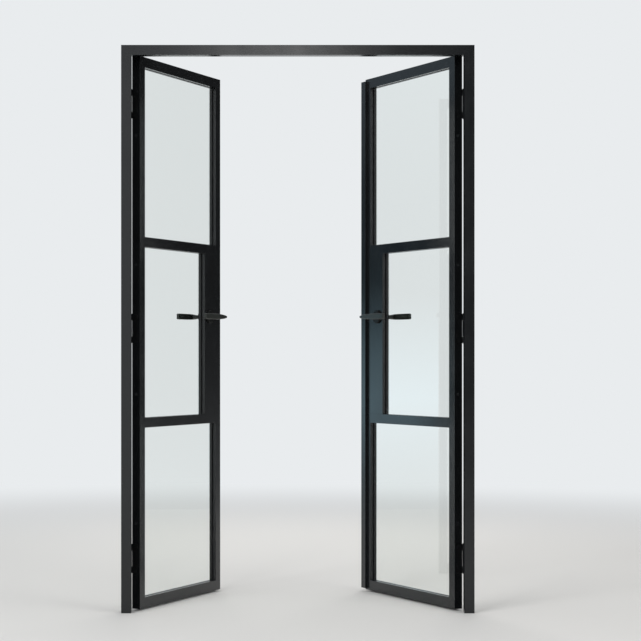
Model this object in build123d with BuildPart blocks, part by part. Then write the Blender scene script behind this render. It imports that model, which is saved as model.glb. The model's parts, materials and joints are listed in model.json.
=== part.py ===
from build123d import *
from math import cos, radians, sin
import os

# Leaves, and how far each one stands open
leaf_width = 615
leaf_height = 2040
leaf_thickness = 34
open_angle = 62

# Gaps round the leaves
floor_gap = 6
head_gap = 3
hinge_gap = 3
meeting_gap = 3
stop_gap = 2

# Frame section
frame_depth = 70
frame_body = 25.5
stop_lap = 11
frame_wall = 4

# Leaf profiles
stile_face = 36
top_rail_face = 38
bottom_rail_face = 40
bar_face = 37
middle_row_extra = 5
profile_wall = 3.5
bar_wall = 3
arris = 0.6

# Glazing
glass = 6
gasket = 3
rebate = 12
glass_cover = 9
gasket_cover = 8
bead_bevel = 2
mitre_gap = 0.2

# Lock panel
lock_panel_face = 125
panel_wall = 3
handle_backset = 89
handle_above_middle = 68

# Latch, its case and its follower
latch_rise = 22
latch_reach = 11
latch_height = 18
latch_thickness = 11
latch_length = 40
latch_nose = 2.5
tail_height = 7
tail_thickness = 4
hook_width = 3
hook_drop = 10
hook_slack = 2
follower_radius = 9
arm_reach = 20
arm_width = 5
arm_thickness = 8
case_thickness = 15
case_wall = 1.5
case_above = 34
case_below = 14
case_behind = 21
edge_plate = 2.5
edge_plate_width = 20
faceplate_height = 150
strike_height = 120

# Levers
rose_radius = 26
rose_height = 8
rose_edge = 2.5
neck_radius = 7.5
neck_lift = 1
neck_flare = 3
spindle_bore = 7
spindle_side = 8
socket_depth = 22
blade_outside = 52
blade_thickness = 10
blade_height = 23
blade_reach = 118
blade_tail = 54
blade_widest = 50
blade_taper = 109
grip_corner = 5
tail_corner = 4.5
blade_edge = 3.5
blade_back_edge = 1.5

# Hinges
hinge_from_bottom = 185
hinge_from_top = 175
middle_hinge_lift = 10
hinge_length = 107
middle_knuckle = 59
knuckle_radius = 7.5
axis_beyond_face = 8.5
hinge_pin_radius = 4
hinge_plate = 2
hinge_plate_reach = 25
hinge_cap = 2.5
hinge_cap_radius = 7
hinge_cap_taper = 20

# Meeting bar
meeting_bar_width = 30
meeting_bar_depth = 10
meeting_bar_lift = 6
meeting_bar_top_gap = 9
meeting_bar_clear = 1

# Flush bolts of the right leaf
bolt_radius = 5
bolt_length = 190
bolt_inset = 1
bolt_bevel = 1
bolt_travel = 16
bolt_plate_length = 200
thumb_from_end = 150
thumb_height = 16
thumb_width = 8
thumb_inset = 0.8
keep_side = 24

# Fixings that hold the frame in the wall
fixing_radius = 4
fixing_sink_radius = 7
jamb_fixings = 4
jamb_fixing_inset = 318
head_fixings = 2
head_fixing_inset = 342

# Keys inside the hollow corners
frame_key_leg = 80
frame_key_depth = 40
rail_key_length = 60

# Weather and sound seal on the stop
seal_width = 6
seal_proud = 1.4
seal_root = 3
seal_root_width = 2.4

# Clearances
running = 0.05
clear = 0.4
seat = 0.1

# Places that follow from the sizes above
UP = (0, 0, 1)
half_rebate = leaf_width + meeting_gap / 2 + hinge_gap
half_outside = half_rebate + frame_body
room_face = frame_depth / 2
hall_face = -frame_depth / 2
stop_face = room_face - leaf_thickness - stop_gap
rebate_middle = (stop_face + room_face) / 2
head_rebate = floor_gap + leaf_height + head_gap
frame_top = head_rebate + frame_body
lip = (leaf_thickness - glass - 2 * gasket) / 2
core = stile_face - rebate
axis_along = -hinge_gap / 2
axis_depth = leaf_thickness + axis_beyond_face
lite_height = (leaf_height - top_rail_face - bottom_rail_face - 2 * bar_face - middle_row_extra) / 3
lower_bar_bottom = bottom_rail_face + lite_height
upper_bar_bottom = lower_bar_bottom + bar_face + lite_height + middle_row_extra
panel_middle = (lower_bar_bottom + bar_face + upper_bar_bottom) / 2
panel_from = leaf_width - lock_panel_face
spindle_along = leaf_width - handle_backset
middle_depth = leaf_thickness / 2
handle_height = panel_middle + handle_above_middle
latch_middle = handle_height + latch_rise
bolt_along = leaf_width - core / 2
top_hinge = leaf_height - hinge_from_top
hinge_heights = (hinge_from_bottom, (hinge_from_bottom + top_hinge) / 2 + middle_hinge_lift, top_hinge)
jamb_fixing_spacing = (frame_top - 2 * jamb_fixing_inset) / (jamb_fixings - 1)
head_fixing_spacing = 2 * (half_outside - head_fixing_inset) / (head_fixings - 1)


class Leaf:
    """One leaf's directions: along it from the hinge edge, through it to the room face, and up."""

    def __init__(self, name, hand, degrees):
        turn = radians(degrees)
        self.name = name
        self.hand = hand
        self.along = Vector(hand * cos(turn), sin(turn), 0)
        self.room = Vector(-hand * sin(turn), cos(turn), 0)
        self.hall = self.room * -1
        self.axis = Vector(hand * (axis_along + hinge_gap - half_rebate), room_face + axis_beyond_face, 0)

    def at(self, along, depth, height):
        """A point of the leaf, its height measured from the leaf's bottom edge."""
        flat = self.axis + self.along * (along - axis_along) + self.room * (depth - axis_depth)
        return flat + Vector(0, 0, floor_gap + height)

    def plan(self, height=0):
        """Seen from above: x along the leaf, y through it."""
        return Plane(self.at(0, 0, height), x_dir=self.along, z_dir=(0, 0, self.hand))

    def elevation(self, depth=0):
        """Seen from the front: x along the leaf, y up."""
        return Plane(self.at(0, depth, 0), x_dir=self.along, z_dir=self.hall * self.hand)

    def section(self, along=0):
        """Seen along the leaf: x through it, y up."""
        return Plane(self.at(along, 0, 0), x_dir=self.room, z_dir=self.along * self.hand)


left = Leaf("left", 1, open_angle)
right = Leaf("right", -1, open_angle)
# The frame's own hinge wings and keep are placed by the leaves as they stand when shut
shut = {"left": Leaf("left", 1, 0), "right": Leaf("right", -1, 0)}
lites = (
    ("lower", bottom_rail_face, lower_bar_bottom, leaf_width - stile_face),
    ("middle", lower_bar_bottom + bar_face, upper_bar_bottom, panel_from),
    ("upper", upper_bar_bottom + bar_face, leaf_height - top_rail_face, leaf_width - stile_face),
)


def save(piece, name):
    piece.part.label = name
    export_step(piece.part, f"parts/{name}.step")


def area(x_low, x_high, y_low, y_high, mode=Mode.ADD):
    """A rectangle between two lines each way."""
    with Locations(((x_low + x_high) / 2, (y_low + y_high) / 2)):
        Rectangle(abs(x_high - x_low), abs(y_high - y_low), mode=mode)


def cut_through(leaf, along, depth, height, size):
    """A box-shaped cut, given its middle along the leaf, through it and up it."""
    with BuildSketch(leaf.plan(height - size[2] / 2)) as outline:
        with Locations((along, depth)):
            Rectangle(size[0], size[1])
    extrude(outline.sketch, amount=size[2], dir=UP, mode=Mode.SUBTRACT)


# Frame

def frame_outline(outer, inner):
    """A box whose stop stands into the doorway on the hall side, seen along the member."""
    inward = 1 if inner > outer else -1
    with BuildLine() as edges:
        Polyline(
            (outer, hall_face),
            (inner + inward * stop_lap, hall_face),
            (inner + inward * stop_lap, stop_face),
            (inner, stop_face),
            (inner, room_face),
            (outer, room_face),
            close=True,
        )
    make_face(edges.edges())


def frame_section(outer, inner):
    """The outline with its hollow and the groove that the seal's root sits in."""
    inward = 1 if inner > outer else -1
    frame_outline(outer, inner)
    with Locations(((outer + inner) / 2, 0)):
        Rectangle(frame_body - 2 * frame_wall, frame_depth - 2 * frame_wall, mode=Mode.SUBTRACT)
    with Locations((inner + inward * stop_lap / 2, stop_face - seal_root / 2)):
        Rectangle(seal_root_width, seal_root, mode=Mode.SUBTRACT)


def seal_section(outer, inner):
    """A soft lip on the stop with its root in the groove."""
    inward = 1 if inner > outer else -1
    with Locations((inner + inward * stop_lap / 2, stop_face + seal_proud / 2)):
        Rectangle(seal_width, seal_proud)
    with Locations((inner + inward * stop_lap / 2, stop_face - seal_root / 2)):
        Rectangle(seal_root_width, seal_root)


def upright(hand, section):
    """A member up one side of the doorway, mitred at its top."""
    with BuildSketch(Plane.XY) as outline:
        section(-hand * half_outside, -hand * half_rebate)
    member = extrude(outline.sketch, amount=frame_top, mode=Mode.PRIVATE)
    add(split(member, bisect_by=mitre(hand), keep=Keep.BOTTOM, mode=Mode.PRIVATE))


def crosspiece(section):
    """A member across the doorway's head, mitred at both ends."""
    with BuildSketch(Plane((-half_outside, 0, 0), x_dir=UP, z_dir=(-1, 0, 0))) as outline:
        section(frame_top, head_rebate)
    extrude(outline.sketch, amount=2 * half_outside, dir=(1, 0, 0))
    split(bisect_by=mitre(1), keep=Keep.TOP)
    split(bisect_by=mitre(-1), keep=Keep.TOP)


def mitre(hand):
    return Plane((-hand * half_outside, 0, frame_top), z_dir=(hand, 0, 1))


def jamb(leaf):
    """One upright, let in for the hinge wings, with countersunk holes for the wall fixings."""
    side = shut[leaf.name]
    face = Plane((-leaf.hand * half_rebate, rebate_middle, frame_top / 2), x_dir=(0, 1, 0),
                 z_dir=(leaf.hand, 0, 0))
    with BuildPart() as piece:
        upright(leaf.hand, frame_section)
        for height in hinge_heights:
            cut_through(side, -hinge_gap - hinge_plate / 2, leaf_thickness - hinge_plate_reach / 2, height,
                        (hinge_plate, hinge_plate_reach, hinge_length))
        with Locations(face):
            with GridLocations(0, jamb_fixing_spacing, 1, jamb_fixings):
                CounterSinkHole(fixing_radius, fixing_sink_radius, depth=frame_body)
    return piece


def head():
    """The top member, with its wall fixings and the hole that takes the top bolt."""
    keep = shut["right"].at(bolt_along, middle_depth, leaf_height + head_gap)
    with BuildPart() as piece:
        crosspiece(frame_section)
        with Locations(Plane((0, rebate_middle, head_rebate), x_dir=(1, 0, 0), z_dir=(0, 0, -1))):
            with GridLocations(head_fixing_spacing, 0, head_fixings, 1):
                CounterSinkHole(fixing_radius, fixing_sink_radius, depth=frame_body)
        with BuildSketch(Plane(keep, x_dir=(1, 0, 0), z_dir=UP)):
            Rectangle(keep_side, keep_side)
        extrude(amount=edge_plate, mode=Mode.SUBTRACT)
        with BuildSketch(Plane(keep, x_dir=(1, 0, 0), z_dir=UP)):
            Circle(bolt_radius + 2 * clear)
        extrude(amount=frame_wall, mode=Mode.SUBTRACT)
    return piece


def bolt_keep():
    """The plate in the head that the top bolt shoots into."""
    keep = shut["right"].at(bolt_along, middle_depth, leaf_height + head_gap)
    with BuildPart() as piece:
        with BuildSketch(Plane(keep, x_dir=(1, 0, 0), z_dir=UP)):
            Rectangle(keep_side, keep_side)
            Circle(bolt_radius + clear, mode=Mode.SUBTRACT)
        extrude(amount=edge_plate)
    return piece


def frame_keys():
    """The two angle keys that draw the mitres together inside the hollow members."""
    thickness = frame_body - 2 * frame_wall - 2 * seat
    corner_x = half_outside - frame_wall - seat
    corner_z = frame_top - frame_wall - seat
    with BuildPart() as piece:
        for hand in (1, -1):
            with BuildSketch(Plane.XZ.offset(-frame_key_depth / 2)):
                area(hand * corner_x, hand * (corner_x - frame_key_leg), corner_z - thickness, corner_z)
                area(hand * corner_x, hand * (corner_x - thickness), corner_z - frame_key_leg, corner_z)
            extrude(amount=frame_key_depth)
    return piece


def rebate_seal():
    """One strip round both jambs and the head."""
    with BuildPart() as piece:
        crosspiece(seal_section)
        upright(1, seal_section)
        upright(-1, seal_section)
    return piece


# Leaf members

def stile(leaf, edge):
    """An upright: a hollow box with the glazing lip along its hall side."""
    inward = 1 if edge == 0 else -1
    with BuildSketch(leaf.plan()) as outline:
        with BuildLine():
            Polyline(
                (edge, 0),
                (edge + inward * stile_face, 0),
                (edge + inward * stile_face, lip),
                (edge + inward * core, lip),
                (edge + inward * core, leaf_thickness),
                (edge, leaf_thickness),
                close=True,
            )
        make_face()
        corners = outline.vertices().group_by(Axis.Y)
        fillet(corners[0] + corners[-1], arris)
        with Locations((edge + inward * core / 2, middle_depth)):
            Rectangle(core - 2 * profile_wall, leaf_thickness - 2 * profile_wall, mode=Mode.SUBTRACT)
    extrude(outline.sketch, amount=leaf_height, dir=UP)


def hinge_stile(leaf):
    """The upright that carries the hinges, let in for their wings."""
    with BuildPart() as piece:
        stile(leaf, 0)
        for height in hinge_heights:
            cut_through(leaf, hinge_plate / 2, leaf_thickness - hinge_plate_reach / 2, height,
                        (hinge_plate, hinge_plate_reach, hinge_length))
    return piece


def latch_stile(leaf):
    """The left leaf's meeting upright, slotted for the latch case and let in for its faceplate."""
    case_middle = handle_height + (case_above - case_below) / 2
    with BuildPart() as piece:
        stile(leaf, leaf_width)
        cut_through(leaf, leaf_width - edge_plate / 2, middle_depth, latch_middle,
                    (edge_plate, edge_plate_width, faceplate_height))
        cut_through(leaf, leaf_width - stile_face / 2, middle_depth, case_middle,
                    (stile_face, case_thickness + 2 * seat, case_above + case_below + 2 * seat))
    return piece


def bolt_ends():
    """Each flush bolt's outer end and the way it shoots: the leaf's top, then its bottom."""
    return ((leaf_height, 1), (0, -1))


def bolt_stile(leaf):
    """The right leaf's meeting upright, cut for the strike and for a flush bolt at each end."""
    with BuildPart() as piece:
        stile(leaf, leaf_width)
        cut_through(leaf, leaf_width - edge_plate / 2, middle_depth, latch_middle,
                    (edge_plate, edge_plate_width, strike_height))
        cut_through(leaf, leaf_width - profile_wall / 2, middle_depth, latch_middle,
                    (profile_wall, latch_thickness + 4 * clear, latch_height + 4 * clear))
        for end, way in bolt_ends():
            thumb_middle = end - way * thumb_from_end + way * bolt_travel / 2
            cut_through(leaf, leaf_width - edge_plate / 2, middle_depth, end - way * bolt_plate_length / 2,
                        (edge_plate, edge_plate_width, bolt_plate_length))
            cut_through(leaf, leaf_width - core / 2, middle_depth, end - way * edge_plate / 2,
                        (core, edge_plate_width, edge_plate))
            cut_through(leaf, leaf_width - profile_wall / 2, middle_depth, thumb_middle,
                        (profile_wall, thumb_width + 2 * clear, thumb_height + bolt_travel + 2 * clear))
    return piece


def cross_member(leaf, lip_low, lip_high, core_low, core_high, wall):
    """A rail or bar: its lip fits between the stiles' lips, and its hollow core runs behind them."""
    with BuildPart() as piece:
        with BuildSketch(leaf.section(stile_face)) as front:
            area(0, lip, lip_low, lip_high)
            fillet(front.vertices().group_by(Axis.X)[0], arris)
        extrude(amount=leaf_width - 2 * stile_face, dir=leaf.along)
        with BuildSketch(leaf.section(core)):
            area(lip, leaf_thickness, core_low, core_high)
            area(lip + wall, leaf_thickness - wall, core_low + wall, core_high - wall, Mode.SUBTRACT)
        extrude(amount=leaf_width - 2 * core, dir=leaf.along)
    return piece


def top_rail(leaf):
    low = leaf_height - top_rail_face
    return cross_member(leaf, low, leaf_height, low + rebate, leaf_height, profile_wall)


def bottom_rail(leaf):
    return cross_member(leaf, 0, bottom_rail_face, 0, bottom_rail_face - rebate, profile_wall)


def bar(leaf, bottom):
    top = bottom + bar_face
    return cross_member(leaf, bottom, top, bottom + rebate, top - rebate, bar_wall)


def lock_panel(leaf):
    """The closed box beside the meeting upright, between the two bars."""
    low = lower_bar_bottom + bar_face
    high = upper_bar_bottom
    case_middle = handle_height + (case_above - case_below) / 2
    back = leaf_width - core
    with BuildPart() as piece:
        with BuildSketch(leaf.elevation()):
            area(panel_from, leaf_width - stile_face, low, high)
        extrude(amount=lip, dir=leaf.room)
        with BuildSketch(leaf.elevation(lip)):
            area(panel_from + rebate, back, low - rebate, high + rebate)
        extrude(amount=leaf_thickness - lip, dir=leaf.room)
        with BuildSketch(leaf.elevation(panel_wall)):
            area(panel_from + rebate + panel_wall, leaf_width - stile_face - panel_wall,
                 low + panel_wall, high - panel_wall)
        extrude(amount=leaf_thickness - 2 * panel_wall, dir=leaf.room, mode=Mode.SUBTRACT)
        with BuildSketch(leaf.elevation()):
            with Locations((spindle_along, handle_height)):
                Circle(spindle_bore)
        extrude(amount=leaf_thickness, dir=leaf.room, mode=Mode.SUBTRACT)
        if leaf is left:
            cut_through(leaf, back - rebate / 2 - panel_wall, middle_depth, case_middle,
                        (rebate + 2 * panel_wall, case_thickness + 2 * seat,
                         case_above + case_below + 2 * seat))
    return piece


def rail_keys(leaf):
    """The blocks that screw to the uprights and fill the ends of the hollow rails and bars."""
    bars = (
        (0, bottom_rail_face - rebate, profile_wall),
        (lower_bar_bottom + rebate, lower_bar_bottom + bar_face - rebate, bar_wall),
        (upper_bar_bottom + rebate, upper_bar_bottom + bar_face - rebate, bar_wall),
        (leaf_height - top_rail_face + rebate, leaf_height, profile_wall),
    )
    with BuildPart() as piece:
        for low, high, wall in bars:
            inset = wall + seat
            for start in (core, leaf_width - core - rail_key_length):
                with BuildSketch(leaf.section(start)):
                    area(lip + inset, leaf_thickness - inset, low + inset, high - inset)
                extrude(amount=rail_key_length, dir=leaf.along)
    return piece


# Glazing

def pane(leaf, low, high, end):
    with BuildPart() as piece:
        with BuildSketch(leaf.elevation(lip + gasket)):
            area(stile_face - glass_cover, end + glass_cover, low - glass_cover, high + glass_cover)
        extrude(amount=glass, dir=leaf.room)
    return piece


def gaskets(leaf):
    """A rubber ring on both sides of each pane."""
    with BuildPart() as piece:
        for name, low, high, end in lites:
            for depth in (lip, lip + gasket + glass):
                with BuildSketch(leaf.elevation(depth)):
                    area(stile_face - gasket_cover, end + gasket_cover, low - gasket_cover, high + gasket_cover)
                    area(stile_face, end, low, high, Mode.SUBTRACT)
                extrude(amount=gasket, dir=leaf.room)
    return piece


def beads(leaf):
    """Four mitred bars round each pane on the room side, bevelled towards the glass."""
    with BuildPart() as piece:
        lengths = []
        for name, low, high, end in lites:
            inner = [Vector(stile_face, low), Vector(end, low), Vector(end, high), Vector(stile_face, high)]
            centre = (inner[0] + inner[2]) * 0.5
            outer = [
                Vector(p.X + (rebate if p.X > centre.X else -rebate), p.Y + (rebate if p.Y > centre.Y else -rebate))
                for p in inner
            ]
            with BuildSketch(leaf.elevation(leaf_thickness - lip)):
                for i in range(4):
                    j = (i + 1) % 4
                    step = (inner[j] - inner[i]).normalized() * mitre_gap
                    with BuildLine():
                        Polyline(outer[i] + step, outer[j] - step, inner[j] - step, inner[i] + step, close=True)
                    make_face()
            extrude(amount=lip, dir=leaf.room)
            lengths += [end - stile_face - 2 * mitre_gap, high - low - 2 * mitre_gap]
        outside = piece.edges().group_by(Axis((0, 0, 0), leaf.room))[-1]
        sight_edges = [e for e in outside if min(abs(e.length - length) for length in lengths) < mitre_gap]
        chamfer(sight_edges, bead_bevel)
    return piece


# Hinges

def hinge_wings(leaf, plate_from, knuckles):
    """Three let-in plates, each reaching past the face to its knuckles."""
    plate_to = plate_from + hinge_plate
    with BuildPart() as piece:
        for height in hinge_heights:
            with BuildSketch(leaf.plan(height - hinge_length / 2)):
                area(plate_from, plate_to, leaf_thickness - hinge_plate_reach, leaf_thickness)
            extrude(amount=hinge_length, dir=UP)
            for low, high in knuckles:
                with BuildSketch(leaf.plan(height + low)):
                    area(plate_from, plate_to, leaf_thickness, axis_depth)
                    with Locations((axis_along, axis_depth)):
                        Circle(knuckle_radius)
                        Circle(hinge_pin_radius + running, mode=Mode.SUBTRACT)
                extrude(amount=high - low, dir=UP)
    return piece


def frame_wings(leaf):
    half = (middle_knuckle - clear) / 2
    return hinge_wings(shut[leaf.name], -hinge_gap - hinge_plate, ((-half, half),))


def leaf_wings(leaf):
    near = (middle_knuckle + clear) / 2
    far = hinge_length / 2
    return hinge_wings(leaf, 0, ((-far, -near), (near, far)))


def hinge_pins(leaf):
    """Three pins with a domed cap at each end."""
    side = shut[leaf.name]
    shank = hinge_length + 2 * clear
    with BuildPart() as piece:
        for height in hinge_heights:
            foot = side.at(axis_along, axis_depth, height - shank / 2)
            with BuildSketch(Plane(foot, x_dir=(1, 0, 0), z_dir=UP)):
                Circle(hinge_pin_radius)
            extrude(amount=shank)
            for cap_foot, way in ((foot, -1), (foot + Vector(0, 0, shank), 1)):
                with BuildSketch(Plane(cap_foot, x_dir=(1, 0, 0), z_dir=(0, 0, way))):
                    Circle(hinge_cap_radius)
                extrude(amount=hinge_cap, taper=hinge_cap_taper)
    return piece


# Levers

def roses(leaf):
    """A round rose on each face, bored for the lever's neck."""
    with BuildPart() as piece:
        for depth, outward in ((0, leaf.hall), (leaf_thickness, leaf.room)):
            with BuildSketch(leaf.elevation(depth)):
                with Locations((spindle_along, handle_height)):
                    Circle(rose_radius)
                    Circle(neck_radius + clear, mode=Mode.SUBTRACT)
            extrude(amount=rose_height, dir=outward)
            rims = piece.edges().group_by(Axis((0, 0, 0), outward))[-1]
            fillet(rims.sort_by(SortBy.LENGTH)[-1], rose_edge)
    return piece


def lever(leaf, front):
    """A level grip with a square end that tapers past the spindle to a round tip, on a flared neck."""
    outward = leaf.hall if front else leaf.room
    face = 0 if front else leaf_thickness
    way = -1 if front else 1
    back = blade_outside - blade_thickness
    low = handle_height - blade_height / 2
    high = handle_height + blade_height / 2
    grip_end = spindle_along - blade_reach
    widest = spindle_along - blade_widest
    with BuildPart() as piece:
        with BuildSketch(leaf.elevation(face + way * back)) as outline:
            with Locations((widest, handle_height)):
                Ellipse(blade_taper, blade_height / 2)
            area(grip_end, spindle_along + blade_tail, low, high, Mode.INTERSECT)
            area(grip_end, widest, low, high)
            fillet(outline.vertices().group_by(Axis.X)[0], grip_corner)
            fillet(outline.vertices().group_by(Axis.X)[-1], tail_corner)
        extrude(amount=blade_thickness, dir=outward)
        fillet(piece.edges().group_by(Axis((0, 0, 0), outward))[-1], blade_edge)
        fillet(piece.edges().group_by(Axis((0, 0, 0), outward))[0], blade_back_edge)
        with BuildSketch(leaf.elevation(face + way * neck_lift)):
            with Locations((spindle_along, handle_height)):
                Circle(neck_radius)
        extrude(amount=back - neck_lift, dir=outward)
        rings = piece.edges().filter_by(lambda e: e.geom_type == GeomType.CIRCLE and e.is_closed)
        fillet(rings.sort_by(Axis((0, 0, 0), outward))[-1], neck_flare)
        with BuildSketch(leaf.elevation(face + way * neck_lift)):
            with Locations((spindle_along, handle_height)):
                Rectangle(spindle_side + 2 * running, spindle_side + 2 * running)
        extrude(amount=socket_depth, dir=outward, mode=Mode.SUBTRACT)
    return piece


def spindle(leaf):
    """The square bar that joins the two levers through the leaf."""
    reach = neck_lift + socket_depth - clear
    with BuildPart() as piece:
        with BuildSketch(leaf.elevation(-reach)):
            with Locations((spindle_along, handle_height)):
                Rectangle(spindle_side, spindle_side)
        extrude(amount=leaf_thickness + 2 * reach, dir=leaf.room)
    return piece


# Latch of the left leaf

def latch_case():
    """A thin steel box open at the faceplate, bored on both sides for the follower."""
    low = handle_height - case_below
    high = handle_height + case_above
    back = spindle_along - case_behind
    front = leaf_width - edge_plate
    near = middle_depth - case_thickness / 2
    with BuildPart() as piece:
        with BuildSketch(left.elevation(near)):
            area(back, front, low, high)
        extrude(amount=case_thickness, dir=left.room)
        with BuildSketch(left.elevation(near + case_wall)):
            area(back + case_wall, front, low + case_wall, high - case_wall)
        extrude(amount=case_thickness - 2 * case_wall, dir=left.room, mode=Mode.SUBTRACT)
        with BuildSketch(left.elevation(near)):
            with Locations((spindle_along, handle_height)):
                Circle(follower_radius + clear)
        extrude(amount=case_thickness, dir=left.room, mode=Mode.SUBTRACT)
    return piece


def follower():
    """The hub that the spindle turns, with the arm that draws the latch back."""
    with BuildPart() as piece:
        with BuildSketch(left.elevation(middle_depth - case_thickness / 2)):
            with Locations((spindle_along, handle_height)):
                Circle(follower_radius)
        extrude(amount=case_thickness, dir=left.room)
        with BuildSketch(left.elevation(middle_depth - arm_thickness / 2)):
            area(spindle_along - arm_width / 2, spindle_along + arm_width / 2,
                 handle_height, handle_height + arm_reach)
        extrude(amount=arm_thickness, dir=left.room)
        with BuildSketch(left.elevation(middle_depth - case_thickness / 2)):
            with Locations((spindle_along, handle_height)):
                Rectangle(spindle_side + 2 * running, spindle_side + 2 * running)
        extrude(amount=case_thickness, dir=left.room, mode=Mode.SUBTRACT)
    return piece


def latch_bolt():
    """A bevelled head, and a tail that passes over the follower and hooks behind its arm."""
    near = middle_depth - latch_thickness / 2
    far = middle_depth + latch_thickness / 2
    tip = leaf_width + latch_reach
    hook_face = spindle_along - arm_width / 2 - hook_slack
    tail_low = handle_height + arm_reach + hook_slack
    with BuildPart() as piece:
        with BuildSketch(left.plan(latch_middle - latch_height / 2)):
            with BuildLine():
                Polyline(
                    (leaf_width - latch_length, near),
                    (leaf_width + clear, near),
                    (tip, far - latch_nose),
                    (tip, far),
                    (leaf_width - latch_length, far),
                    close=True,
                )
            make_face()
        extrude(amount=latch_height, dir=UP)
        with BuildSketch(left.elevation(middle_depth - tail_thickness / 2)):
            area(hook_face - hook_width, leaf_width - latch_length, tail_low, tail_low + tail_height)
            area(hook_face - hook_width, hook_face, tail_low - hook_drop, tail_low + tail_height)
        extrude(amount=tail_thickness, dir=left.room)
    return piece


def edge_plate_with_hole(leaf, height, hole):
    """A plate let into the meeting edge, with an opening for the latch."""
    with BuildPart() as piece:
        with BuildSketch(leaf.section(leaf_width - edge_plate)):
            with Locations((middle_depth, latch_middle)):
                Rectangle(edge_plate_width, height)
                Rectangle(hole[0], hole[1], mode=Mode.SUBTRACT)
        extrude(amount=edge_plate, dir=leaf.along)
    return piece


def faceplate():
    return edge_plate_with_hole(left, faceplate_height, (latch_thickness + 2 * clear, latch_height + 2 * clear))


def strike_plate():
    return edge_plate_with_hole(right, strike_height, (latch_thickness + 4 * clear, latch_height + 4 * clear))


# Meeting bar and flush bolts of the right leaf

def meeting_bar():
    """The cover bar on the hall face of the right leaf, centred on the line where the leaves meet."""
    centre = leaf_width + meeting_gap / 2
    near = centre - meeting_bar_width / 2
    far = centre + meeting_bar_width / 2
    with BuildPart() as piece:
        with BuildSketch(right.plan(meeting_bar_lift)) as outline:
            with BuildLine():
                Polyline(
                    (near, 0),
                    (near, -meeting_bar_depth),
                    (far, -meeting_bar_depth),
                    (far, -meeting_bar_clear),
                    (leaf_width, -meeting_bar_clear),
                    (leaf_width, 0),
                    close=True,
                )
            make_face()
            fillet(outline.vertices().group_by(Axis.Y)[0], arris)
        extrude(amount=leaf_height - meeting_bar_lift - meeting_bar_top_gap, dir=UP)
    return piece


def flush_bolt(end, way):
    """A round rod with a thumb piece that stands in the slot of its plate."""
    tip = end - way * bolt_inset
    with BuildPart() as piece:
        with BuildSketch(Plane(right.at(bolt_along, middle_depth, tip), x_dir=(1, 0, 0), z_dir=(0, 0, -way))):
            Circle(bolt_radius)
        extrude(amount=bolt_length)
        chamfer(piece.edges().group_by(Axis.Z)[-1 if way > 0 else 0], bolt_bevel)
        with BuildSketch(right.section(bolt_along)):
            with Locations((middle_depth, end - way * thumb_from_end)):
                Rectangle(thumb_width, thumb_height)
        extrude(amount=leaf_width - thumb_inset - bolt_along, dir=right.along)
    return piece


def bolt_plates():
    """Two angle plates, one let into each end of the meeting edge, that guide the bolts."""
    with BuildPart() as piece:
        for end, way in bolt_ends():
            slot_middle = end - way * thumb_from_end + way * bolt_travel / 2
            with BuildSketch(right.section(leaf_width - edge_plate)):
                with Locations((middle_depth, end - way * bolt_plate_length / 2)):
                    Rectangle(edge_plate_width, bolt_plate_length)
                with Locations((middle_depth, slot_middle)):
                    Rectangle(thumb_width + 2 * clear, thumb_height + bolt_travel + 2 * clear, mode=Mode.SUBTRACT)
            extrude(amount=edge_plate, dir=right.along)
            low = end - edge_plate if way > 0 else end
            with BuildSketch(right.plan(low)):
                area(leaf_width - core, leaf_width, middle_depth - edge_plate_width / 2,
                     middle_depth + edge_plate_width / 2)
                with Locations((bolt_along, middle_depth)):
                    Circle(bolt_radius + 2 * running, mode=Mode.SUBTRACT)
            extrude(amount=edge_plate, dir=UP)
    return piece


os.makedirs("parts", exist_ok=True)

save(head(), "head")
save(bolt_keep(), "head_bolt_keep")
save(frame_keys(), "frame_corner_keys")
save(rebate_seal(), "rebate_seal")

for leaf in (left, right):
    save(jamb(leaf), f"{leaf.name}_jamb")
    save(frame_wings(leaf), f"{leaf.name}_hinge_frame_wings")
    save(hinge_pins(leaf), f"{leaf.name}_hinge_pins")
    save(leaf_wings(leaf), f"{leaf.name}_hinge_leaf_wings")
    save(hinge_stile(leaf), f"{leaf.name}_hinge_stile")
    save(top_rail(leaf), f"{leaf.name}_top_rail")
    save(bottom_rail(leaf), f"{leaf.name}_bottom_rail")
    save(bar(leaf, upper_bar_bottom), f"{leaf.name}_upper_bar")
    save(bar(leaf, lower_bar_bottom), f"{leaf.name}_lower_bar")
    save(lock_panel(leaf), f"{leaf.name}_lock_panel")
    save(rail_keys(leaf), f"{leaf.name}_rail_keys")
    for name, low, high, end in lites:
        save(pane(leaf, low, high, end), f"{leaf.name}_{name}_pane")
    save(gaskets(leaf), f"{leaf.name}_glazing_gaskets")
    save(beads(leaf), f"{leaf.name}_glazing_beads")
    save(roses(leaf), f"{leaf.name}_roses")
    save(lever(leaf, True), f"{leaf.name}_front_lever")
    save(lever(leaf, False), f"{leaf.name}_rear_lever")
    save(spindle(leaf), f"{leaf.name}_spindle")

save(latch_stile(left), "left_meeting_stile")
save(latch_case(), "left_latch_case")
save(follower(), "left_latch_follower")
save(latch_bolt(), "left_latch_bolt")
save(faceplate(), "left_faceplate")

save(bolt_stile(right), "right_meeting_stile")
save(strike_plate(), "right_strike_plate")
save(meeting_bar(), "right_meeting_bar")
save(flush_bolt(leaf_height, 1), "right_top_bolt")
save(flush_bolt(0, -1), "right_bottom_bolt")
save(bolt_plates(), "right_bolt_plates")
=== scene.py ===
import json
import math

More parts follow.
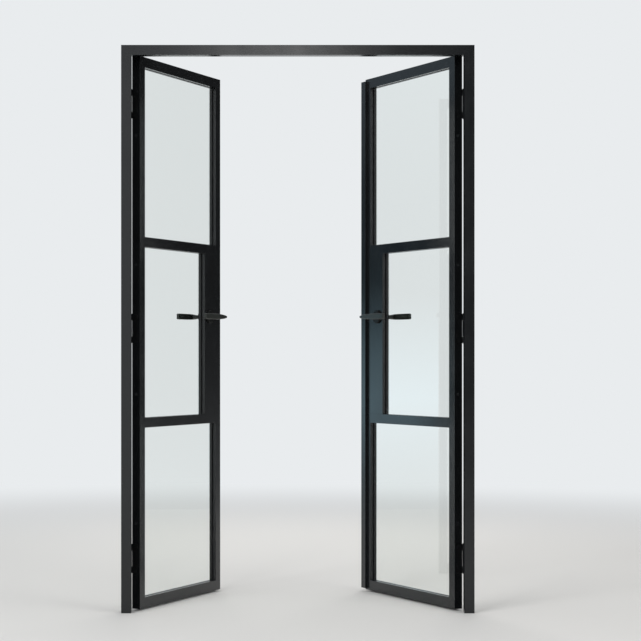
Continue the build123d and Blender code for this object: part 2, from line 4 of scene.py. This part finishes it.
import bmesh
import bpy
import numpy as np
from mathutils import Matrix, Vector


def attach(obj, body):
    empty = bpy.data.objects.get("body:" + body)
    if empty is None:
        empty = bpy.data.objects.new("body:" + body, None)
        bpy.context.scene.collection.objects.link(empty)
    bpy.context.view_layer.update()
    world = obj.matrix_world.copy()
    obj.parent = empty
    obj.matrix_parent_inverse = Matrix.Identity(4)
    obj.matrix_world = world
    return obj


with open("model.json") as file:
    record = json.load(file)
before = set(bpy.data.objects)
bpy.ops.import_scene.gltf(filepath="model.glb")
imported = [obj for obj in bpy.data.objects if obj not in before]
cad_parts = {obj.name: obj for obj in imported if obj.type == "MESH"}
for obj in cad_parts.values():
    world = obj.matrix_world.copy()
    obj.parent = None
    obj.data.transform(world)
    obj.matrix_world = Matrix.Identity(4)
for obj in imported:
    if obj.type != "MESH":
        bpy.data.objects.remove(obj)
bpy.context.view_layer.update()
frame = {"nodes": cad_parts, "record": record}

MM = 0.001

# The doors' own sizes. On a leaf, distances count from its hinge edge, depths from its hall face
# and heights from its bottom edge
LEAF_WIDTH = 615 * MM
LEAF_HEIGHT = 2040 * MM
LEAF_THICKNESS = 34 * MM
FLOOR_GAP = 6 * MM
EDGE_GAP = 3 * MM  # beside and above a leaf
HALF_REBATE = 619.5 * MM  # from the doorway's middle line to a jamb's rebate
HEAD_REBATE = FLOOR_GAP + LEAF_HEIGHT + EDGE_GAP
FRAME_TOP = 2074.5 * MM
ROOM_FACE = 35 * MM  # of the frame and of a shut leaf
AXIS_DISTANCE = -1.5 * MM  # the hinge axis, just off the leaf's edge
AXIS_BEYOND = 8.5 * MM  # and out of its room face
OPEN_ANGLE = 62
HAND = {"left": 1, "right": -1}  # the way that a shut leaf runs from its hinges

# Where the hardware sits on a leaf
HINGE_HEIGHTS = np.array([185, 1035, 1865]) * MM
HINGE_SCREWS = np.array([(-44, 21), (-27, 12), (27, 21), (44, 12)]) * MM  # up from middle, depth
LEVER_HEIGHT = 1089 * MM
LEVER_INSET = 89 * MM  # from the meeting edge
NECK_RADIUS = 7.5 * MM
GRUB_OUT = 25 * MM  # from the leaf's face
LATCH_HEIGHT = 1111 * MM
FACEPLATE_REACH = 64 * MM  # from the latch to either screw
STRIKE_REACH = 50 * MM
BOLT_SCREWS = np.array([20, 190]) * MM  # from the end of the leaf
THUMB_INSET = 150 * MM
THUMB_SUNK = 0.8 * MM

# Fixings to the wall: from the frame's ends, across its depth, and how deep their heads stand
JAMB_SCREW_INSET = 318 * MM
JAMB_SCREW_COUNT = 4
HEAD_SCREW_X = 303 * MM
WALL_SCREW_Y = 17 * MM
WALL_SCREW_SUNK = 1.6 * MM


def leaf_directions(side, shut=False):
    """Directions along a leaf from its hinge edge and out of its room face, at rest or shut."""
    turn = 0 if shut else math.radians(OPEN_ANGLE)
    hand = HAND[side]
    return (np.array([hand * math.cos(turn), math.sin(turn), 0]),
            np.array([-hand * math.sin(turn), math.cos(turn), 0]))


def leaf_point(side, distance, depth, height, shut=False):
    """The place of a leaf's point, turned about its hinge axis."""
    along, outward = leaf_directions(side, shut)
    axis = np.array([HAND[side] * (EDGE_GAP + AXIS_DISTANCE - HALF_REBATE),
                     ROOM_FACE + AXIS_BEYOND, FLOOR_GAP])
    return (axis + along * (distance - AXIS_DISTANCE)
            + outward * (depth - LEAF_THICKNESS - AXIS_BEYOND) + (0, 0, height))


def meeting_edge(side, height, sunk=0):
    """A point in the middle of a leaf's meeting edge, or sunk below it."""
    return leaf_point(side, LEAF_WIDTH - sunk, LEAF_THICKNESS / 2, height)


# Colours, nodes and materials

def linear(hex_colour):
    """An sRGB hex colour as the linear RGBA that the nodes work in."""
    channels = np.array([int(hex_colour[i:i + 2], 16) for i in (1, 3, 5)]) / 255
    light = np.where(channels <= 0.04045, channels / 12.92, ((channels + 0.055) / 1.055) ** 2.4)
    return (*light.tolist(), 1.0)


def add_node(tree, kind, settings=None, links=None):
    """Adds a node: settings are its properties or its inputs' values, links their sources."""
    node = tree.nodes.new(kind)
    for name, value in (settings or {}).items():
        if isinstance(name, str) and hasattr(node, name):
            setattr(node, name, value)
        else:
            node.inputs[name].default_value = value
    for name, source in (links or {}).items():
        tree.links.new(source, node.inputs[name])
    return node


def ramp(tree, source, stops):
    """A colour ramp through positions and linear colours, where a single number is a grey."""
    node = add_node(tree, "ShaderNodeValToRGB", links={"Fac": source})
    points = node.color_ramp.elements
    while len(points) < len(stops):
        points.new(0.5)
    for point, (place, colour) in zip(points, stops):
        point.position = place
        point.color = (*np.broadcast_to(colour, 3), 1)
    return node.outputs["Color"]


def new_material(name):
    """An empty material, its node tree and the object coordinates in it."""
    material = bpy.data.materials.new(name)
    material.use_nodes = True
    tree = material.node_tree
    tree.nodes.clear()
    return material, tree, add_node(tree, "ShaderNodeTexCoord").outputs["Object"]


def end_material(tree, surface):
    """Shows a shader node's first output."""
    add_node(tree, "ShaderNodeOutputMaterial", links={"Surface": surface.outputs[0]})


def coated_steel(name, dark, light, roughness, peel, peel_height, specular=0.5):
    """Stoved polymer coat on steel: an even dark colour under a fine orange peel.

    The peel is noise at the coat's own wavelength. A slower noise, of handling and dust, moves the
    colour and the roughness a little. The eye sees soft grey reflections with a slight grain, and
    no bare metal.
    """
    material, tree, place = new_material(name)
    dust = add_node(tree, "ShaderNodeTexNoise",
                    {"Scale": 1 / (180 * MM), "Detail": 4.0, "Roughness": 0.6},
                    {"Vector": place}).outputs["Fac"]
    shade = ramp(tree, dust, ((0.35, linear(dark)[:3]), (0.75, linear(light)[:3])))
    rough = add_node(tree, "ShaderNodeMapRange",
                     {"From Min": 0.3, "From Max": 0.7,
                      "To Min": roughness - 0.04, "To Max": roughness + 0.05}, {"Value": dust})
    grain = add_node(tree, "ShaderNodeTexNoise",
                     {"Scale": 1 / peel, "Detail": 2.0, "Roughness": 0.5}, {"Vector": place})
    bump = add_node(tree, "ShaderNodeBump", {"Strength": 1.0, "Distance": peel_height},
                    {"Height": grain.outputs["Fac"]})
    end_material(tree, add_node(
        tree, "ShaderNodeBsdfPrincipled",
        {"Metallic": 0.0, "IOR": 1.5, "Specular IOR Level": specular},
        {"Base Color": shade, "Roughness": rough.outputs[0], "Normal": bump.outputs["Normal"]}))
    return material


def extruded_rubber():
    """Extruded EPDM: dull black, slightly rough from the die, seen as a soft, unlit line."""
    material, tree, place = new_material("extruded_epdm_rubber")
    grain = add_node(tree, "ShaderNodeTexNoise", {"Scale": 1 / (4 * MM), "Detail": 3.0},
                     {"Vector": place})
    bump = add_node(tree, "ShaderNodeBump", {"Strength": 0.6, "Distance": 0.02 * MM},
                    {"Height": grain.outputs["Fac"]})
    end_material(tree, add_node(
        tree, "ShaderNodeBsdfPrincipled",
        {"Base Color": linear("#101011"), "Roughness": 0.78, "IOR": 1.5,
         "Specular IOR Level": 0.35}, {"Normal": bump.outputs["Normal"]}))
    return material


def plated_steel():
    """Zinc-plated pressed steel: pale grey metal with a soft crystalline cloud in its gloss.

    The drawing lines are noise that is 0.8 mm across and 30 mm long, upright.
    """
    material, tree, place = new_material("zinc_plated_pressed_steel")
    cloud = add_node(tree, "ShaderNodeTexNoise", {"Scale": 1 / (12 * MM), "Detail": 4.0},
                     {"Vector": place})
    rough = add_node(tree, "ShaderNodeMapRange", {"To Min": 0.26, "To Max": 0.42},
                     {"Value": cloud.outputs["Fac"]})
    stretch = add_node(tree, "ShaderNodeMapping",
                       {"Scale": (1 / (0.8 * MM), 1 / (0.8 * MM), 1 / (30 * MM))},
                       {"Vector": place})
    lines = add_node(tree, "ShaderNodeTexNoise", {"Scale": 1.0, "Detail": 1.0},
                     {"Vector": stretch.outputs[0]})
    bump = add_node(tree, "ShaderNodeBump", {"Strength": 0.5, "Distance": 0.01 * MM},
                    {"Height": lines.outputs["Fac"]})
    end_material(tree, add_node(
        tree, "ShaderNodeBsdfPrincipled", {"Base Color": linear("#b4b7b9"), "Metallic": 1.0},
        {"Roughness": rough.outputs[0], "Normal": bump.outputs["Normal"]}))
    return material


def float_glass():
    """Clear float glass: a trace of green, with a roller wave far too slight to blur."""
    material, tree, place = new_material("clear_float_glass")
    wave = add_node(tree, "ShaderNodeTexNoise", {"Scale": 1 / (260 * MM), "Detail": 1.0},
                    {"Vector": place})
    bump = add_node(tree, "ShaderNodeBump", {"Strength": 0.25, "Distance": 0.15 * MM},
                    {"Height": wave.outputs["Fac"]})
    end_material(tree, add_node(
        tree, "ShaderNodeBsdfPrincipled",
        {"Base Color": linear("#f7faf8"), "Roughness": 0.0, "IOR": 1.52,
         "Transmission Weight": 1.0}, {"Normal": bump.outputs["Normal"]}))
    return material


# Satin polyester powder coat, sprayed and stoved: near-black, slightly cool. Its orange peel of
# about 2.5 mm is drawn at 3 mm, so that it shows
FRAME_COAT = coated_steel("satin_powder_coat_on_steel", "#101214", "#16181a", roughness=0.22,
                          peel=3.0 * MM, peel_height=0.012 * MM)
# The same powder on the hinges and edge plates, a little duller because they are sprayed apart
PLATE_COAT = coated_steel("powder_coat_on_hinge_steel", "#0f1112", "#151618", roughness=0.36,
                          peel=2.5 * MM, peel_height=0.012 * MM)
# Satin lacquer on cast zinc, finer than the frame's powder. Its base is a shade lighter and
# faintly olive, a painted sheen and a painted olive reflection, so that the levers stand out from
# the leaf behind them
LEVER_COAT_WITH_PAINTED_SHEEN = coated_steel("lacquer_on_cast_zinc_with_painted_sheen", "#222522", "#2b2e2b", roughness=0.40,
                          peel=1.2 * MM, peel_height=0.008 * MM)
# Matt black lacquer on the turned rose caps, almost without a reflection. Its base is set darkest
# of all as painted shade, which stands in for the dark reflection that keeps the whole rose dark
ROSE_COAT_PAINTED_DARK = coated_steel("rose_lacquer_with_painted_dark_reflection", "#0b0c0c", "#111212", roughness=0.52,
                         peel=1.2 * MM, peel_height=0.008 * MM, specular=0.3)
RUBBER = extruded_rubber()
STEEL = plated_steel()
GLASS = float_glass()

# The finish of each CAD slot, of the nodes that are sprayed apart, and of the small pieces below
NODE_FINISH = {
    "frame_coat": FRAME_COAT,
    "lever_coat": LEVER_COAT_WITH_PAINTED_SHEEN,
    "rubber": RUBBER,
    "clear_glass": GLASS,
    "steel": STEEL,
}
PLATES = ("hinge_leaf_wings", "hinge_frame_wings", "hinge_pins", "faceplate", "strike_plate",
          "bolt_plates", "bolt_keep")
PIECE_FINISH = {"frame_coat": PLATE_COAT, "steel": STEEL}

slot_of = {part["node"]: part["material_slot"] for part in frame["record"]["subparts"]}
for name, node in frame["nodes"].items():
    material = NODE_FINISH[slot_of[name]]
    if name.endswith(PLATES):
        material = PLATE_COAT
    # the roses take the coat whose darkest base is painted shade
    elif name.endswith("roses"):
        material = ROSE_COAT_PAINTED_DARK
    node.data.materials.clear()
    node.data.materials.append(material)
    if material is GLASS:
        node.visible_shadow = False


# Small fasteners and grips, as surfaces worked out on a grid

def grid_mesh(name, points, index, material):
    """A mesh with a face between neighbours of the point numbers' last two axes."""
    quads = np.stack([index[..., :-1, :-1], index[..., :-1, 1:], index[..., 1:, 1:],
                      index[..., 1:, :-1]], -1)
    mesh = bpy.data.meshes.new(name)
    mesh.from_pydata(points.reshape(-1, 3).tolist(), [], quads.reshape(-1, 4).tolist())
    mesh.materials.append(material)
    return mesh


def add_object(name, data):
    """Adds an object to the scene, unturned at the origin."""
    added = bpy.data.objects.new(name, data)
    bpy.context.scene.collection.objects.link(added)
    return added


def set_copies(name, shape, feet, outward, slot, body):
    """Adds one piece that holds a copy of a shape on each foot, its +Z turned outward.

    The shape is rows x columns x 3. Its last column joins its first, and its first and last rows
    are points drawn together, which merge into poles.
    """
    rows, columns, _ = shape.shape
    outward = np.asarray(outward) / np.linalg.norm(outward)
    up = np.array([1.0, 0, 0]) if abs(outward[2]) > 0.9 else np.array([0, 0, 1.0])
    across = np.cross(up, outward)
    across /= np.linalg.norm(across)
    turned = shape @ np.stack([across, np.cross(outward, across), outward])
    points = np.asarray(feet)[:, None, None] + turned

    index = np.arange(len(feet) * rows * columns).reshape(-1, rows, columns)
    index = np.concatenate([index, index[..., :1]], -1)
    mesh = grid_mesh(name, points, index, PIECE_FINISH[slot])
    close_poles(mesh)
    piece = add_object(name, mesh)
    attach(piece, body)


SAME_PLACE = 0.001 * MM
NO_LENGTH = 0.0001 * MM


def close_poles(mesh):
    """Merges the points drawn together, turns the faces outward and smooths them."""
    work = bmesh.new()
    work.from_mesh(mesh)
    bmesh.ops.remove_doubles(work, verts=work.verts, dist=SAME_PLACE)
    bmesh.ops.dissolve_degenerate(work, edges=work.edges, dist=NO_LENGTH)
    bmesh.ops.recalc_face_normals(work, faces=work.faces)
    work.to_mesh(mesh)
    work.free()
    mesh.polygons.foreach_set("use_smooth", np.ones(len(mesh.polygons), bool))
    mesh.update()


HEAD_RINGS, HEAD_SIDES = 15, 48
RIB_ROWS, RIB_COLUMNS = 57, 15


def screw_head(radius, rise, recess, star=4, sink=0.1 * MM):
    """A raised head with a cross or star recess, from its middle out to its edge and back under.

    Height = rise x (1 - (r / R)^2), less the recess's depth times a smooth step. The step falls
    from 1 to 0 over 0.1 R, where r passes the recess's own outline at
    0.52 R x (0.72 + 0.28 cos(n angle)). The underside is flat and lies lower by the sink.
    """
    share = np.concatenate([[0], np.linspace(0.04, 1, HEAD_RINGS)])[:, None]
    angle = np.linspace(0, 2 * math.pi, HEAD_SIDES, endpoint=False)
    r = share * radius
    outline = 0.52 * radius * (0.72 + 0.28 * np.cos(star * angle))
    step = np.clip((outline - r) / (0.1 * radius) + 0.5, 0, 1)
    height = rise * (1 - share ** 2) - recess * step ** 2 * (3 - 2 * step)
    top = np.stack([r * np.cos(angle), r * np.sin(angle), height], -1)
    under = top[::-1] * (1, 1, 0) - (0, 0, sink)
    return np.concatenate([top, under])


def grip_ribs(width, height, pitch, rise, rounding=0.5 * MM, sink=0.05 * MM):
    """Cross ribs of a thumb piece: rows up the piece, each a loop over the ribs and back under.

    Height = rise x (0.5 + 0.5 cos(2 pi v / pitch)), let down along either side by a quarter
    circle over the rounding. The underside is flat and lies lower by the sink.
    """
    v, u = np.meshgrid(np.linspace(-height / 2, height / 2, RIB_ROWS),
                       np.linspace(-width / 2, width / 2, RIB_COLUMNS), indexing="ij")
    past = np.clip((np.abs(u) - width / 2) / rounding + 1, 0, 1)
    crest = rise * (0.5 + 0.5 * np.cos(2 * math.pi * v / pitch)) * np.sqrt(1 - past ** 2)
    over = np.stack([u, v, crest], -1)
    under = over[:, ::-1] * (1, 1, 0) - (0, 0, sink)
    loops = np.concatenate([over, under], 1)
    return np.concatenate([loops[:1] * (0, 1, 0), loops, loops[-1:] * (0, 1, 0)])


HINGE_SCREW = screw_head(3.6 * MM, 0.8 * MM, 0.65 * MM)
EDGE_SCREW = screw_head(3.8 * MM, 0.8 * MM, 0.65 * MM)
WALL_SCREW = screw_head(5.4 * MM, 0.5 * MM, 1.6 * MM)
GRUB_SCREW = screw_head(2.4 * MM, 0.05 * MM, 1.2 * MM, star=6, sink=0.6 * MM)
THUMB_RIBS = grip_ribs(7 * MM, 14 * MM, 2 * MM, 0.6 * MM)


def hinge_screws(name, side, distance, way, shut, body):
    """The screws in one side of three hinges, facing along the leaf (way 1) or back (way -1)."""
    feet = [leaf_point(side, distance, depth, middle + up, shut)
            for middle in HINGE_HEIGHTS for up, depth in HINGE_SCREWS]
    set_copies(name, HINGE_SCREW, feet, way * leaf_directions(side, shut)[0], "frame_coat", body)


# The wings in the jambs stand where the shut leaf has its hinge edge
for side in HAND:
    hinge_screws(f"{side}_hinge_leaf_screws", side, 0, -1, shut=False, body=f"{side}_leaf")
    hinge_screws(f"{side}_hinge_frame_screws", side, -EDGE_GAP, 1, shut=True, body="frame")

for name, side, heights in (
        ("left_faceplate_screws", "left", LATCH_HEIGHT + FACEPLATE_REACH * np.array([-1, 1])),
        ("right_strike_screws", "right", LATCH_HEIGHT + STRIKE_REACH * np.array([-1, 1])),
        ("right_bolt_plate_screws", "right", [*BOLT_SCREWS, *(LEAF_HEIGHT - BOLT_SCREWS[::-1])])):
    set_copies(name, EDGE_SCREW, [meeting_edge(side, height) for height in heights],
               leaf_directions(side)[0], "frame_coat", f"{side}_leaf")

# Frame screws, down in their countersinks
jamb_heights = np.linspace(JAMB_SCREW_INSET, FRAME_TOP - JAMB_SCREW_INSET, JAMB_SCREW_COUNT)
for side, hand in HAND.items():
    x = -hand * (HALF_REBATE + WALL_SCREW_SUNK)
    set_copies(f"{side}_frame_screws", WALL_SCREW, [(x, WALL_SCREW_Y, z) for z in jamb_heights],
               (hand, 0, 0), "steel", "frame")
z = HEAD_REBATE + WALL_SCREW_SUNK
set_copies("head_frame_screws", WALL_SCREW,
           [(-HEAD_SCREW_X, WALL_SCREW_Y, z), (HEAD_SCREW_X, WALL_SCREW_Y, z)],
           (0, 0, -1), "steel", "frame")

# Ribs on the thumb pieces of the flush bolts, and a grub screw under each lever's neck
for bolt, height in (("right_top_bolt", LEAF_HEIGHT - THUMB_INSET),
                     ("right_bottom_bolt", THUMB_INSET)):
    set_copies(f"{bolt}_ribs", THUMB_RIBS, [meeting_edge("right", height, sunk=THUMB_SUNK)],
               leaf_directions("right")[0], "steel", bolt)
for side in HAND:
    feet = [leaf_point(side, LEAF_WIDTH - LEVER_INSET, depth, LEVER_HEIGHT - NECK_RADIUS)
            for depth in (-GRUB_OUT, LEAF_THICKNESS + GRUB_OUT)]
    set_copies(f"{side}_lever_grub_screws", GRUB_SCREW, feet, (0, 0, -1), "steel",
               f"{side}_handle")


# Stage

PALE = "#e9ecee"
FLOOR_RADIUS = 14
FADE_START, FADE_END = 2.2, 6.5  # metres from the doorway


def seen_background(tree):
    """1 on rays from the camera, from glossy surfaces and through glass, else 0."""
    path = add_node(tree, "ShaderNodeLightPath")
    total = path.outputs["Is Camera Ray"]
    for kind in ("Is Glossy Ray", "Is Transmission Ray"):
        total = add_node(tree, "ShaderNodeMath", {"operation": "ADD", "use_clamp": True},
                         {0: total, 1: path.outputs[kind]}).outputs[0]
    return total


def pale_floor():
    """A matt pale floor that fades into the pale background a few metres out."""
    material, tree, place = new_material("matt_pale_floor")
    distance = add_node(tree, "ShaderNodeVectorMath", {"operation": "LENGTH"}, {0: place})
    fade = add_node(tree, "ShaderNodeMapRange",
                    {"interpolation_type": "SMOOTHSTEP", "From Min": FADE_START,
                     "From Max": FADE_END}, {"Value": distance.outputs["Value"]})
    share = add_node(tree, "ShaderNodeMath", {"operation": "MULTIPLY"},
                     {0: fade.outputs[0], 1: seen_background(tree)})
    paint = add_node(tree, "ShaderNodeBsdfPrincipled",
                     {"Base Color": linear("#dad9d6"), "Roughness": 0.85,
                      "Specular IOR Level": 0.2})
    glow = add_node(tree, "ShaderNodeEmission", {"Color": linear(PALE), "Strength": 1.0})
    end_material(tree, add_node(tree, "ShaderNodeMixShader", links={
        0: share.outputs[0], 1: paint.outputs[0], 2: glow.outputs[0]}))
    return material


bpy.ops.mesh.primitive_circle_add(vertices=96, radius=FLOOR_RADIUS, fill_type="NGON",
                                  location=(0, 0, 0))
floor = bpy.context.object
floor.name = "floor"
floor.data.materials.append(pale_floor())

world = bpy.data.worlds.new("pale_studio")
bpy.context.scene.world = world
world.use_nodes = True
tree = world.node_tree
tree.nodes.clear()
pale = add_node(tree, "ShaderNodeBackground", {"Color": linear(PALE), "Strength": 1.0})
soft = add_node(tree, "ShaderNodeBackground", {"Color": linear("#f2f4f8"), "Strength": 0.55})
both = add_node(tree, "ShaderNodeMixShader", links={
    0: seen_background(tree), 1: soft.outputs[0], 2: pale.outputs[0]})
add_node(tree, "ShaderNodeOutputWorld", links={"Surface": both.outputs[0]})


# Light. The black coat shows little but what it mirrors, so cards that only gloss sees set its
# tones, and the lamps give the rest

LAMP_AIM = Vector((0, 0.2, 1.0))


def soft_lamp(name, place, width, height, watts, colour):
    """A rectangular soft lamp that faces the doors and isn't seen itself."""
    lamp = bpy.data.lights.new(name, "AREA")
    lamp.shape, lamp.size, lamp.size_y = "RECTANGLE", width, height
    lamp.energy, lamp.color = watts, linear(colour)[:3]
    holder = add_object(name, lamp)
    holder.location = place
    holder.rotation_mode = "QUATERNION"
    holder.rotation_quaternion = (LAMP_AIM - Vector(place)).to_track_quat("-Z", "Y")
    holder.visible_camera = holder.visible_transmission = holder.visible_glossy = False


soft_lamp("key_lamp", (-2.6, -3.6, 3.4), width=2.4, height=2.4, watts=125, colour="#ffffff")
soft_lamp("fill_lamp", (3.2, -2.8, 2.2), width=2.4, height=2.4, watts=50, colour="#fffdfa")
soft_lamp("room_lamp", (0.4, 3.4, 3.2), width=2.6, height=2.0, watts=75, colour="#fffdfa")


CARD_LINES = 25


def gloss_card(name, start, end, low, high, tones):
    """An upright studio card that only gloss sees, over the floor line from start to end.

    Its tone changes with height, by the stops from its foot to its head. It thins out towards its
    edges as (1 - (2u - 1)^4) (1 - (2v - 1)^4), so that no hard edge shows in the glass. It gives
    the satin coat something to mirror, and neither lights nor shades the object.
    """
    material, tree, place = new_material(f"{name}_paint")
    height = add_node(tree, "ShaderNodeSeparateXYZ", links={"Vector": place}).outputs["Z"]
    share = add_node(tree, "ShaderNodeMapRange", {"From Min": low, "From Max": high},
                     {"Value": height}).outputs[0]
    glow = add_node(tree, "ShaderNodeEmission", links={"Color": ramp(tree, share, tones)})
    gap = add_node(tree, "ShaderNodeBsdfTransparent")
    thin = add_node(tree, "ShaderNodeAttribute", {"attribute_name": "spread"})
    end_material(tree, add_node(tree, "ShaderNodeMixShader", links={
        0: thin.outputs["Fac"], 1: gap.outputs[0], 2: glow.outputs[0]}))

    shares = np.linspace(0, 1, CARD_LINES)
    u, v = np.meshgrid(shares, shares, indexing="ij")
    points = np.stack([start[0] + (end[0] - start[0]) * u, start[1] + (end[1] - start[1]) * u,
                       low + (high - low) * v], -1)
    mesh = grid_mesh(name, points, np.arange(u.size).reshape(u.shape), material)
    spread = (1 - (2 * u - 1) ** 4) * (1 - (2 * v - 1) ** 4)
    mesh.attributes.new("spread", "FLOAT", "POINT").data.foreach_set("value", spread.ravel())
    card = add_object(name, mesh)
    card.visible_camera = card.visible_diffuse = False
    card.visible_transmission = card.visible_shadow = False


# The left leaf mirrors the first card, and the right leaf the second, whose narrow bright band
# makes the lighter patch low on its lock panel
CARD_FOOT, CARD_HEAD = -0.4, 5
gloss_card("dark_card_right", (1.0, 5.0), (5.0, -0.6), CARD_FOOT, CARD_HEAD,
           ((0, 0.03), (1, 0.06)))
gloss_card("grey_card_left", (-1.0, 5.0), (-5.0, -0.6), CARD_FOOT, CARD_HEAD,
           ((0.08, (0.12, 0.18, 0.22)), (0.2, (1.0, 1.6, 1.9)), (0.32, (0.05, 0.08, 0.10)),
            (0.42, (0.10, 0.14, 0.17)), (0.62, (0.42, 0.52, 0.60))))
# The frame's right side mirrors the third, and the fourth is the gleam in the middle of the head
gloss_card("dark_card_front", (0.2, -3.8), (3.2, -3.2), CARD_FOOT, 4, ((0, 0.12), (1, 0.05)))
gloss_card("pale_card_over", (-0.4, -3.4), (0.4, -3.4), 2.4, 3.0, ((0, 5.0), (1, 5.0)))


# Camera, as fitted to the photograph's edges: level, with its focal length and the place where
# its axis meets the image in pixels

EYE = (-0.203, -6.2028, 0.930)
FOCAL_LENGTH = 1690
SIGHT_X, SIGHT_Y = 242.2, 358.5
IMAGE_SIZE = 641
IMAGE_MIDDLE = IMAGE_SIZE / 2
SENSOR_WIDTH = 36

camera = bpy.data.cameras.new("camera")
camera.sensor_width = SENSOR_WIDTH
camera.lens = FOCAL_LENGTH * SENSOR_WIDTH / IMAGE_SIZE
camera.shift_x = (IMAGE_MIDDLE - SIGHT_X) / IMAGE_SIZE
camera.shift_y = (SIGHT_Y - IMAGE_MIDDLE) / IMAGE_SIZE
camera.clip_start, camera.clip_end = 0.05, 100
viewpoint = add_object("camera", camera)
viewpoint.location = EYE
viewpoint.rotation_euler = (math.pi / 2, 0, 0)
bpy.context.scene.camera = viewpoint
bpy.context.scene.view_settings.view_transform = "Standard"
